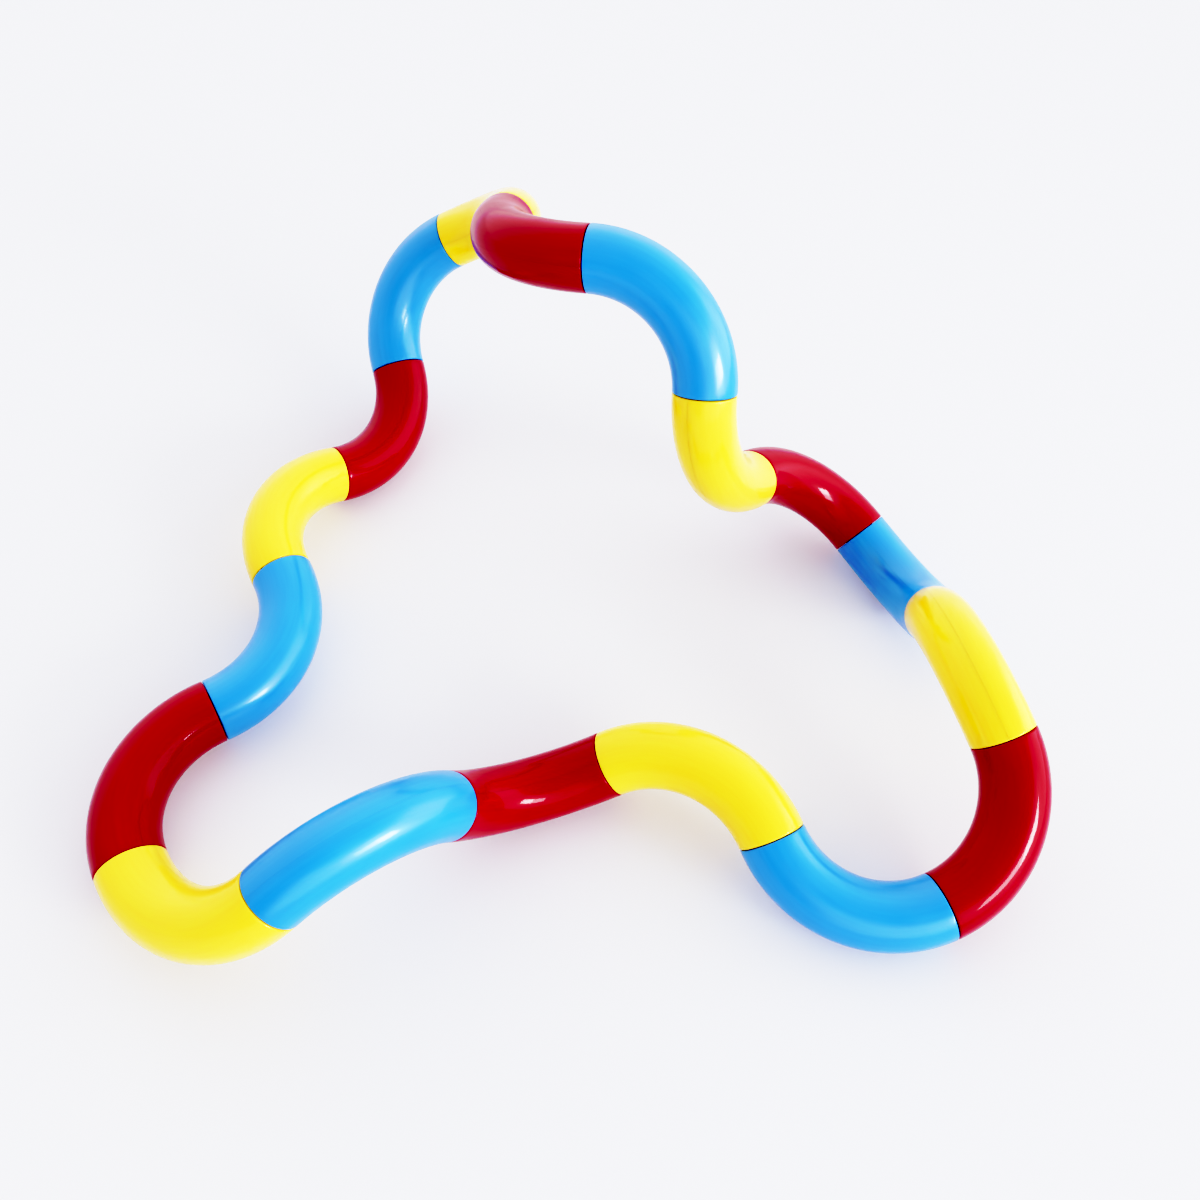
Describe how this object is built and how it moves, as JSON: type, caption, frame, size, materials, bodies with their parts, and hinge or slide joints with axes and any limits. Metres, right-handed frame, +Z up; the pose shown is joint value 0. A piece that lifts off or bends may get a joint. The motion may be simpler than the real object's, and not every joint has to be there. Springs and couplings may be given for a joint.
{
  "type": "twisty snake puzzle",
  "caption": "Closed ring of curved plastic tube links that swivel on each other, a twistable snake puzzle and fidget toy.",
  "frame": {"origin": "middle of the ring's bounding box, on the table it lies on", "axes": "+Z up from the table, +X along the ring's longest side, +Y away from the viewer who sees the raised arch at the back"},
  "size_m": [0.1516, 0.146, 0.0674],
  "materials": {
    "yellow_plastic": "glossy injection-moulded plastic",
    "red_plastic": "glossy injection-moulded plastic",
    "blue_plastic": "glossy injection-moulded plastic"
  },
  "bodies": {
    "link_01_yellow": {"link_01_yellow_left_shell": "yellow_plastic", "link_01_yellow_right_shell": "yellow_plastic"},
    "link_02_red": {"link_02_red_left_shell": "red_plastic", "link_02_red_right_shell": "red_plastic"},
    "link_03_blue": {"link_03_blue_left_shell": "blue_plastic", "link_03_blue_right_shell": "blue_plastic"},
    "link_04_yellow": {"link_04_yellow_left_shell": "yellow_plastic", "link_04_yellow_right_shell": "yellow_plastic"},
    "link_05_red": {"link_05_red_left_shell": "red_plastic", "link_05_red_right_shell": "red_plastic"},
    "link_06_blue": {"link_06_blue_left_shell": "blue_plastic", "link_06_blue_right_shell": "blue_plastic"},
    "link_07_yellow": {"link_07_yellow_left_shell": "yellow_plastic", "link_07_yellow_right_shell": "yellow_plastic"},
    "link_08_red": {"link_08_red_left_shell": "red_plastic", "link_08_red_right_shell": "red_plastic"},
    "link_09_blue": {"link_09_blue_left_shell": "blue_plastic", "link_09_blue_right_shell": "blue_plastic"},
    "link_10_yellow": {"link_10_yellow_left_shell": "yellow_plastic", "link_10_yellow_right_shell": "yellow_plastic"},
    "link_11_red": {"link_11_red_left_shell": "red_plastic", "link_11_red_right_shell": "red_plastic"},
    "link_12_blue": {"link_12_blue_left_shell": "blue_plastic", "link_12_blue_right_shell": "blue_plastic"},
    "link_13_yellow": {"link_13_yellow_left_shell": "yellow_plastic", "link_13_yellow_right_shell": "yellow_plastic"},
    "link_14_red": {"link_14_red_left_shell": "red_plastic", "link_14_red_right_shell": "red_plastic"},
    "link_15_blue": {"link_15_blue_left_shell": "blue_plastic", "link_15_blue_right_shell": "blue_plastic"},
    "link_16_yellow": {"link_16_yellow_left_shell": "yellow_plastic", "link_16_yellow_right_shell": "yellow_plastic"},
    "link_17_red": {"link_17_red_left_shell": "red_plastic", "link_17_red_right_shell": "red_plastic"},
    "link_18_blue": {"link_18_blue_left_shell": "blue_plastic", "link_18_blue_right_shell": "blue_plastic"}
  },
  "joints": [
    {"name": "swivel_06_07", "type": "hinge", "parent": "link_06_blue", "child": "link_07_yellow", "pos_m": [0.0651, -0.01009, 0.01534], "axis": [-0.2424, -0.599, 0.7632], "range_deg": [-30, 210]},
    {"name": "swivel_07_08", "type": "hinge", "parent": "link_07_yellow", "child": "link_08_red", "pos_m": [0.06858, -0.03799, 0.02115], "axis": [0.4139, -0.7753, -0.4771], "continuous": true},
    {"name": "swivel_08_09", "type": "hinge", "parent": "link_08_red", "child": "link_09_blue", "pos_m": [0.05851, -0.06065, 0.00668], "axis": [-0.9101, -0.3409, -0.2357], "continuous": true},
    {"name": "swivel_09_10", "type": "hinge", "parent": "link_09_blue", "child": "link_10_yellow", "pos_m": [0.03166, -0.05131, 0.0107], "axis": [-0.4124, 0.8012, 0.4337], "range_deg": [-135, 150]},
    {"name": "swivel_10_11", "type": "hinge", "parent": "link_10_yellow", "child": "link_11_red", "pos_m": [0.00632, -0.03796, 0.00875], "axis": [-0.8359, -0.1435, -0.5297], "continuous": true},
    {"name": "swivel_11_12", "type": "hinge", "parent": "link_11_red", "child": "link_12_blue", "pos_m": [-0.01958, -0.04903, 0.0143], "axis": [-0.4399, -0.4019, 0.8031], "continuous": true},
    {"name": "swivel_12_13", "type": "hinge", "parent": "link_12_blue", "child": "link_13_yellow", "pos_m": [-0.04259, -0.06562, 0.01867], "axis": [-0.6939, -0.4155, -0.5881], "continuous": true},
    {"name": "swivel_13_14", "type": "hinge", "parent": "link_13_yellow", "child": "link_14_red", "pos_m": [-0.06728, -0.05674, 0.007], "axis": [-0.5221, 0.8528, 0.0135], "continuous": true},
    {"name": "swivel_14_15", "type": "hinge", "parent": "link_14_red", "child": "link_15_blue", "pos_m": [-0.06057, -0.02883, 0.00692], "axis": [0.8526, 0.5223, -0.0176], "continuous": true},
    {"name": "swivel_05_06", "type": "hinge", "parent": "link_06_blue", "child": "link_05_red", "pos_m": [0.0575, 0.01632, 0.00706], "axis": [-0.617, 0.7022, 0.3552], "continuous": true},
    {"name": "swivel_04_05", "type": "hinge", "parent": "link_05_red", "child": "link_04_yellow", "pos_m": [0.03272, 0.01613, 0.02156], "axis": [-0.6037, -0.7119, 0.3587], "range_deg": [-90, 120]},
    {"name": "swivel_03_04", "type": "hinge", "parent": "link_04_yellow", "child": "link_03_blue", "pos_m": [0.01993, 0.01117, 0.04677], "axis": [-0.0263, 0.4675, 0.8836], "continuous": true},
    {"name": "swivel_02_03", "type": "hinge", "parent": "link_03_blue", "child": "link_02_red", "pos_m": [-0.00019, 0.02511, 0.06177], "axis": [-0.9648, 0.2195, -0.1449], "continuous": true},
    {"name": "swivel_01_02", "type": "hinge", "parent": "link_02_red", "child": "link_01_yellow", "pos_m": [-0.01457, 0.04799, 0.05208], "axis": [0.2564, 0.9076, -0.3325], "range_deg": [-60, 255]},
    {"name": "swivel_18_01", "type": "hinge", "parent": "link_01_yellow", "child": "link_18_blue", "pos_m": [-0.02675, 0.0675, 0.03489], "axis": [-0.8559, 0.0533, -0.5144], "continuous": true},
    {"name": "swivel_17_18", "type": "hinge", "parent": "link_18_blue", "child": "link_17_red", "pos_m": [-0.03802, 0.05318, 0.01271], "axis": [0.3003, -0.7586, -0.5782], "continuous": true},
    {"name": "swivel_16_17", "type": "hinge", "parent": "link_17_red", "child": "link_16_yellow", "pos_m": [-0.04803, 0.02691, 0.00687], "axis": [-0.793, -0.5354, 0.2907], "continuous": true}
  ]
}
